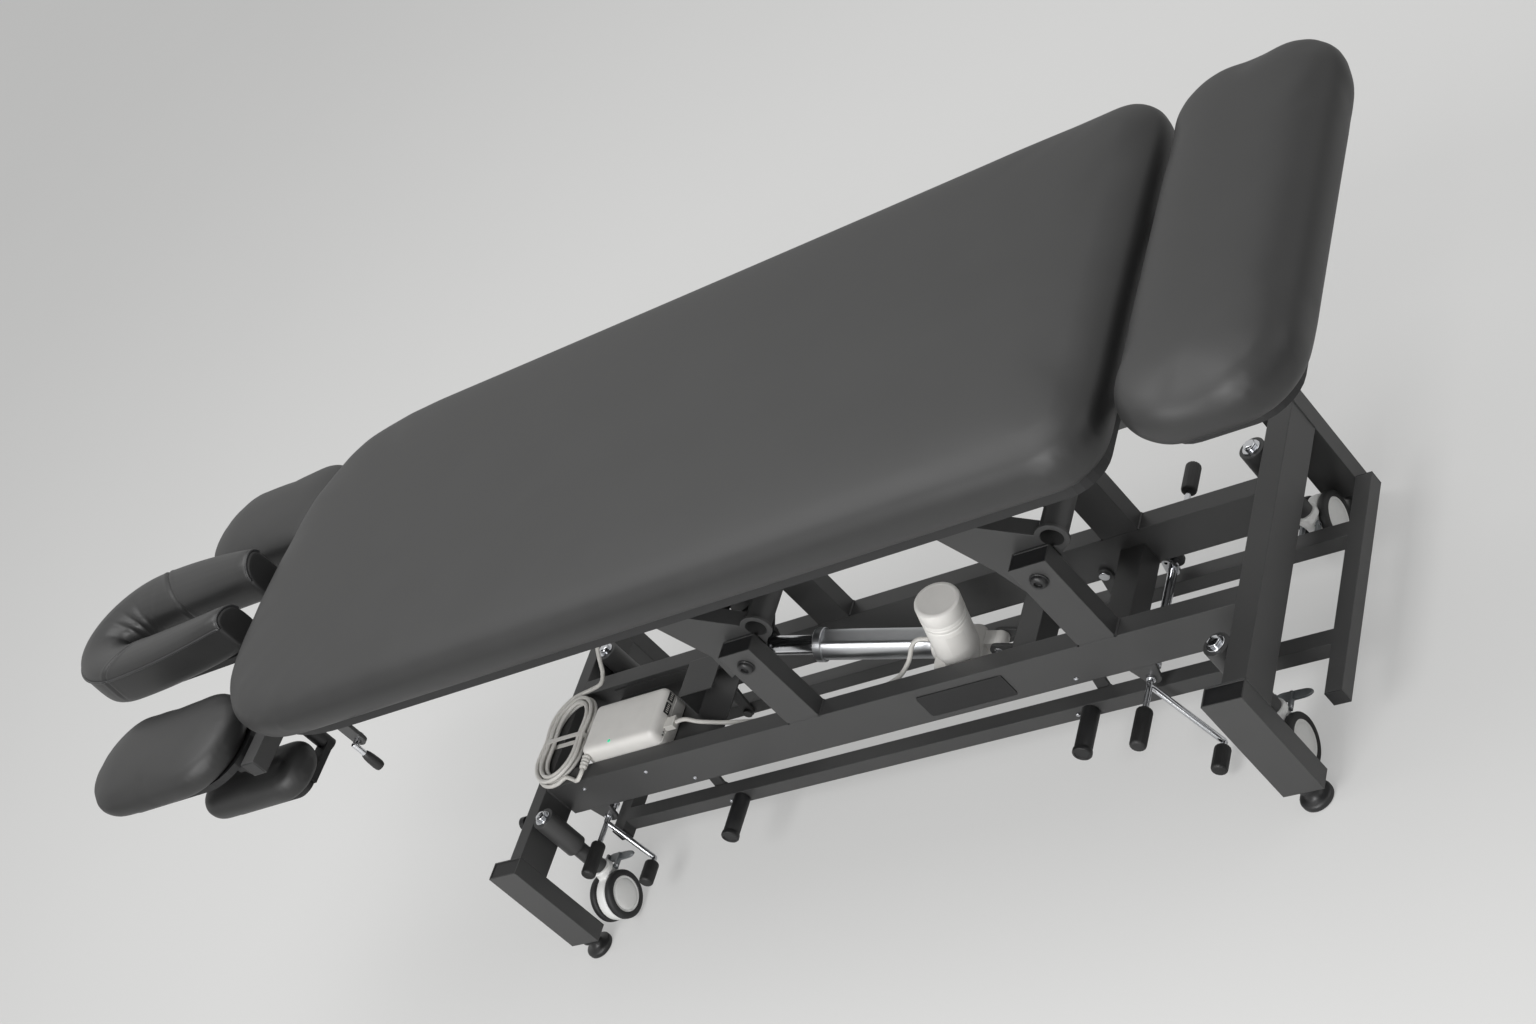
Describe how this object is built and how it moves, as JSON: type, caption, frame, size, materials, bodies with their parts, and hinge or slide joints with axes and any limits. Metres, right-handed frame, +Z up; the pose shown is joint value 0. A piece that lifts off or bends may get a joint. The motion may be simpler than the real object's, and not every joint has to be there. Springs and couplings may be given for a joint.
{
  "type": "massage table",
  "caption": "Motor-lifted massage table with a padded top, drop leg section, face cradle, arm rests, elbow pads and retractable casters.",
  "frame": {"origin": "on the floor, under the middle of the table's overall box", "axes": "+X from the head end to the foot end, +Y from the near side to the far side, +Z up"},
  "size_m": [2.366, 0.68, 0.759],
  "materials": {
    "side_rails": "satin charcoal paint",
    "cross_tubes": "satin charcoal paint",
    "leg_posts": "satin charcoal paint",
    "pivot_posts": "satin charcoal paint",
    "cross_members": "satin charcoal paint",
    "tube_caps": "black moulded plastic",
    "bolts": "bright plated steel",
    "level_feet": "black moulded plastic",
    "caster_housings": "satin charcoal paint",
    "control_box": "light warm grey plastic",
    "control_plugs": "light warm grey plastic",
    "cable_hank": "light grey cable sheath",
    "head_arm": "satin charcoal paint",
    "cable_rise": "light grey cable sheath",
    "foot_arm": "satin charcoal paint",
    "top_frame": "satin charcoal paint",
    "main_board": "birch plywood",
    "main_pad": "fine grain black upholstery over foam",
    "leg_frame": "satin charcoal paint",
    "leg_board": "birch plywood",
    "leg_pad": "fine grain black upholstery over foam",
    "cradle_rods": "bright plated steel",
    "cradle_plate": "black painted board",
    "cradle_pad": "fine grain black upholstery over foam",
    "near_arm_frame": "black painted board",
    "near_arm_pad": "fine grain black upholstery over foam",
    "far_arm_frame": "black painted board",
    "far_arm_pad": "fine grain black upholstery over foam",
    "near_elbow_frame": "black painted board",
    "near_elbow_pad": "fine grain black upholstery over foam",
    "far_elbow_frame": "black painted board",
    "far_elbow_pad": "fine grain black upholstery over foam",
    "head_lever": "bright plated steel",
    "actuator_tube": "satin",
    "actuator_motor": "light warm grey plastic",
    "motor_cable": "light grey cable sheath",
    "actuator_rod": "satin",
    "head_links": "satin charcoal paint",
    "foot_links": "satin charcoal paint",
    "switch_frame": "satin charcoal paint",
    "switch_pegs": "black moulded plastic",
    "head_pedal": "bright plated steel",
    "foot_pedal": "bright plated steel",
    "link_strips": "satin charcoal paint",
    "near_head_stem": "satin charcoal paint",
    "near_head_fork": "off-white nylon",
    "near_head_pedal": "grey translucent plastic",
    "near_head_wheel": "black tread on off-white hubs",
    "near_foot_stem": "satin charcoal paint",
    "near_foot_fork": "off-white nylon",
    "near_foot_pedal": "grey translucent plastic",
    "near_foot_wheel": "black tread on off-white hubs",
    "far_head_stem": "satin charcoal paint",
    "far_head_fork": "off-white nylon",
    "far_head_pedal": "grey translucent plastic",
    "far_head_wheel": "black tread on off-white hubs",
    "far_foot_stem": "satin charcoal paint",
    "far_foot_fork": "off-white nylon",
    "far_foot_pedal": "grey translucent plastic",
    "far_foot_wheel": "black tread on off-white hubs"
  },
  "bodies": {
    "root": {"side_rails": "side_rails", "cross_tubes": "cross_tubes", "leg_posts": "leg_posts", "pivot_posts": "pivot_posts", "cross_members": "cross_members", "tube_caps": "tube_caps", "bolts": "bolts", "level_feet": "level_feet", "caster_housings": "caster_housings", "control_box": "control_box", "control_plugs": "control_plugs", "cable_hank": "cable_hank"},
    "lift_arm": {"head_arm": "head_arm", "cable_rise": "cable_rise"},
    "follow_arm": {"foot_arm": "foot_arm"},
    "top": {"top_frame": "top_frame", "main_board": "main_board", "main_pad": "main_pad"},
    "leg_section": {"leg_frame": "leg_frame", "leg_board": "leg_board", "leg_pad": "leg_pad"},
    "cradle_slide": {"cradle_rods": "cradle_rods"},
    "cradle": {"cradle_plate": "cradle_plate", "cradle_pad": "cradle_pad"},
    "near_arm_rest": {"near_arm_frame": "near_arm_frame", "near_arm_pad": "near_arm_pad"},
    "far_arm_rest": {"far_arm_frame": "far_arm_frame", "far_arm_pad": "far_arm_pad"},
    "near_elbow": {"near_elbow_frame": "near_elbow_frame", "near_elbow_pad": "near_elbow_pad"},
    "far_elbow": {"far_elbow_frame": "far_elbow_frame", "far_elbow_pad": "far_elbow_pad"},
    "head_lever": {"head_lever": "head_lever"},
    "actuator": {"actuator_tube": "actuator_tube", "actuator_motor": "actuator_motor", "motor_cable": "motor_cable"},
    "rod": {"actuator_rod": "actuator_rod"},
    "head_link": {"head_links": "head_links"},
    "foot_link": {"foot_links": "foot_links"},
    "switch": {"switch_frame": "switch_frame", "switch_pegs": "switch_pegs"},
    "head_pedal": {"head_pedal": "head_pedal"},
    "foot_pedal": {"foot_pedal": "foot_pedal"},
    "link": {"link_strips": "link_strips"},
    "near_head_stem": {"near_head_stem": "near_head_stem"},
    "near_head_fork": {"near_head_fork": "near_head_fork"},
    "near_head_pedal": {"near_head_pedal": "near_head_pedal"},
    "near_head_wheel": {"near_head_wheel": "near_head_wheel"},
    "near_foot_stem": {"near_foot_stem": "near_foot_stem"},
    "near_foot_fork": {"near_foot_fork": "near_foot_fork"},
    "near_foot_pedal": {"near_foot_pedal": "near_foot_pedal"},
    "near_foot_wheel": {"near_foot_wheel": "near_foot_wheel"},
    "far_head_stem": {"far_head_stem": "far_head_stem"},
    "far_head_fork": {"far_head_fork": "far_head_fork"},
    "far_head_pedal": {"far_head_pedal": "far_head_pedal"},
    "far_head_wheel": {"far_head_wheel": "far_head_wheel"},
    "far_foot_stem": {"far_foot_stem": "far_foot_stem"},
    "far_foot_fork": {"far_foot_fork": "far_foot_fork"},
    "far_foot_pedal": {"far_foot_pedal": "far_foot_pedal"},
    "far_foot_wheel": {"far_foot_wheel": "far_foot_wheel"}
  },
  "joints": [
    {"name": "lift", "type": "hinge", "parent": "root", "child": "lift_arm", "pos_m": [0.06, 0, 0.369], "axis": [0, 1, 0], "range_deg": [-36, 26], "deforming": ["cable_rise"]},
    {"name": "follow_lift", "type": "hinge", "parent": "root", "child": "follow_arm", "pos_m": [0.579, 0, 0.369], "axis": [0, 1, 0], "range_deg": [-36.01, 26.01]},
    {"name": "top_level", "type": "hinge", "parent": "lift_arm", "child": "top", "pos_m": [-0.139, 0, 0.594], "axis": [0, 1, 0], "range_deg": [-26.01, 36.01]},
    {"name": "actuator_hinge", "type": "hinge", "parent": "root", "child": "actuator", "pos_m": [0.351, 0, 0.175], "axis": [0, 1, 0], "range_deg": [-3.24, 2.35], "deforming": ["motor_cable"]},
    {"name": "rod_slide", "type": "slide", "parent": "actuator", "child": "rod", "axis": [-0.9444, 0, 0.3288], "range_m": [-0.05579, 0.04043]},
    {"name": "leg_drop", "type": "hinge", "parent": "top", "child": "leg_section", "pos_m": [0.94, 0, 0.634], "axis": [0, 1, 0], "range_deg": [0, 40]},
    {"name": "cradle_reach", "type": "slide", "parent": "top", "child": "cradle_slide", "axis": [-1, 0, 0], "range_m": [0, 0.1]},
    {"name": "cradle_tilt", "type": "hinge", "parent": "cradle_slide", "child": "cradle", "pos_m": [-0.788, 0, 0.621], "axis": [0, 1, 0], "range_deg": [-20, 20]},
    {"name": "near_arm_tilt", "type": "hinge", "parent": "top", "child": "near_arm_rest", "pos_m": [-0.716, 0, 0.609], "axis": [0, 1, 0], "range_deg": [0, 15]},
    {"name": "far_arm_tilt", "type": "hinge", "parent": "top", "child": "far_arm_rest", "pos_m": [-0.716, 0, 0.609], "axis": [0, 1, 0], "range_deg": [0, 15]},
    {"name": "near_elbow_swing", "type": "hinge", "parent": "top", "child": "near_elbow", "pos_m": [-0.693, -0.168, 0.534], "axis": [0, 0, 1], "range_deg": [0, 60]},
    {"name": "far_elbow_swing", "type": "hinge", "parent": "top", "child": "far_elbow", "pos_m": [-0.693, 0.168, 0.534], "axis": [0, 0, -1], "range_deg": [0, 60]},
    {"name": "head_lever_pull", "type": "hinge", "parent": "top", "child": "head_lever", "pos_m": [-0.443, -0.3, 0.614], "axis": [0, 1, 0], "range_deg": [0, 30], "stiffness_Nm_per_rad": 1.5, "springref_deg": -22.92},
    {"name": "head_link_swing", "type": "hinge", "parent": "root", "child": "head_link", "pos_m": [-0.211, 0, 0.175], "axis": [0, -1, 0], "range_deg": [-8, 12], "stiffness_Nm_per_rad": 40},
    {"name": "foot_link_swing", "type": "hinge", "parent": "root", "child": "foot_link", "pos_m": [0.516, 0, 0.175], "axis": [0, -1, 0], "range_deg": [-8.01, 12.01]},
    {"name": "switch_level", "type": "hinge", "parent": "head_link", "child": "switch", "pos_m": [-0.225, 0, 0.1025], "axis": [0, -1, 0], "range_deg": [-12.01, 8.01]},
    {"name": "foot_pedal_turn", "type": "hinge", "parent": "root", "child": "foot_pedal", "pos_m": [0.604, 0, 0.138], "axis": [0, -1, 0], "range_deg": [0, 18]},
    {"name": "head_pedal_turn", "type": "hinge", "parent": "root", "child": "head_pedal", "pos_m": [-0.435, 0, 0.138], "axis": [0, -1, 0], "range_deg": [-0.01, 18.01]},
    {"name": "link_shift", "type": "slide", "parent": "root", "child": "link", "axis": [-1, 0, 0], "range_m": [-0.0001, 0.00575]},
    {"name": "near_head_drop", "type": "slide", "parent": "root", "child": "near_head_stem", "axis": [0, 0, -1], "range_m": [-0.0001, 0.0151]},
    {"name": "near_head_swivel", "type": "hinge", "parent": "near_head_stem", "child": "near_head_fork", "pos_m": [-0.469, -0.17, 0.094], "axis": [0, 0, 1], "continuous": true},
    {"name": "near_head_brake", "type": "hinge", "parent": "near_head_fork", "child": "near_head_pedal", "pos_m": [-0.469, -0.158, 0.075], "axis": [-1, 0, 0], "range_deg": [0, 12], "stiffness_Nm_per_rad": 0.5, "springref_deg": -20.05},
    {"name": "near_head_spin", "type": "hinge", "parent": "near_head_fork", "child": "near_head_wheel", "pos_m": [-0.469, -0.194, 0.044], "axis": [1, 0, 0], "continuous": true},
    {"name": "near_foot_drop", "type": "slide", "parent": "root", "child": "near_foot_stem", "axis": [0, 0, -1], "range_m": [-0.0001, 0.0151]},
    {"name": "near_foot_swivel", "type": "hinge", "parent": "near_foot_stem", "child": "near_foot_fork", "pos_m": [0.775, -0.17, 0.094], "axis": [0, 0, 1], "continuous": true},
    {"name": "near_foot_brake", "type": "hinge", "parent": "near_foot_fork", "child": "near_foot_pedal", "pos_m": [0.775, -0.158, 0.075], "axis": [-1, 0, 0], "range_deg": [0, 12], "stiffness_Nm_per_rad": 0.5, "springref_deg": -20.05},
    {"name": "near_foot_spin", "type": "hinge", "parent": "near_foot_fork", "child": "near_foot_wheel", "pos_m": [0.775, -0.194, 0.044], "axis": [1, 0, 0], "continuous": true},
    {"name": "far_head_drop", "type": "slide", "parent": "root", "child": "far_head_stem", "axis": [0, 0, -1], "range_m": [-0.0001, 0.0151]},
    {"name": "far_head_swivel", "type": "hinge", "parent": "far_head_stem", "child": "far_head_fork", "pos_m": [-0.469, 0.17, 0.094], "axis": [0, 0, 1], "continuous": true},
    {"name": "far_head_brake", "type": "hinge", "parent": "far_head_fork", "child": "far_head_pedal", "pos_m": [-0.469, 0.158, 0.075], "axis": [1, 0, 0], "range_deg": [0, 12], "stiffness_Nm_per_rad": 0.5, "springref_deg": -20.05},
    {"name": "far_head_spin", "type": "hinge", "parent": "far_head_fork", "child": "far_head_wheel", "pos_m": [-0.469, 0.194, 0.044], "axis": [1, 0, 0], "continuous": true},
    {"name": "far_foot_drop", "type": "slide", "parent": "root", "child": "far_foot_stem", "axis": [0, 0, -1], "range_m": [-0.0001, 0.0151]},
    {"name": "far_foot_swivel", "type": "hinge", "parent": "far_foot_stem", "child": "far_foot_fork", "pos_m": [0.775, 0.17, 0.094], "axis": [0, 0, 1], "continuous": true},
    {"name": "far_foot_brake", "type": "hinge", "parent": "far_foot_fork", "child": "far_foot_pedal", "pos_m": [0.775, 0.158, 0.075], "axis": [1, 0, 0], "range_deg": [0, 12], "stiffness_Nm_per_rad": 0.5, "springref_deg": -20.05},
    {"name": "far_foot_spin", "type": "hinge", "parent": "far_foot_fork", "child": "far_foot_wheel", "pos_m": [0.775, 0.194, 0.044], "axis": [1, 0, 0], "continuous": true}
  ],
  "couplings": [
    {"joint": "follow_lift", "follows": "lift", "ratio": 1},
    {"joint": "top_level", "follows": "lift", "ratio": -1},
    {"joint": "actuator_hinge", "follows": "lift", "ratio": 0.0886},
    {"joint": "rod_slide", "follows": "lift", "m_per_rad": 0.088},
    {"joint": "foot_link_swing", "follows": "head_link_swing", "ratio": 1},
    {"joint": "switch_level", "follows": "head_link_swing", "ratio": -1},
    {"joint": "head_pedal_turn", "follows": "foot_pedal_turn", "ratio": 1},
    {"joint": "link_shift", "follows": "foot_pedal_turn", "m_per_rad": 0.018},
    {"joint": "near_head_drop", "follows": "foot_pedal_turn", "m_per_rad": 0.047746},
    {"joint": "near_foot_drop", "follows": "foot_pedal_turn", "m_per_rad": 0.047746},
    {"joint": "far_head_drop", "follows": "foot_pedal_turn", "m_per_rad": 0.047746},
    {"joint": "far_foot_drop", "follows": "foot_pedal_turn", "m_per_rad": 0.047746}
  ]
}
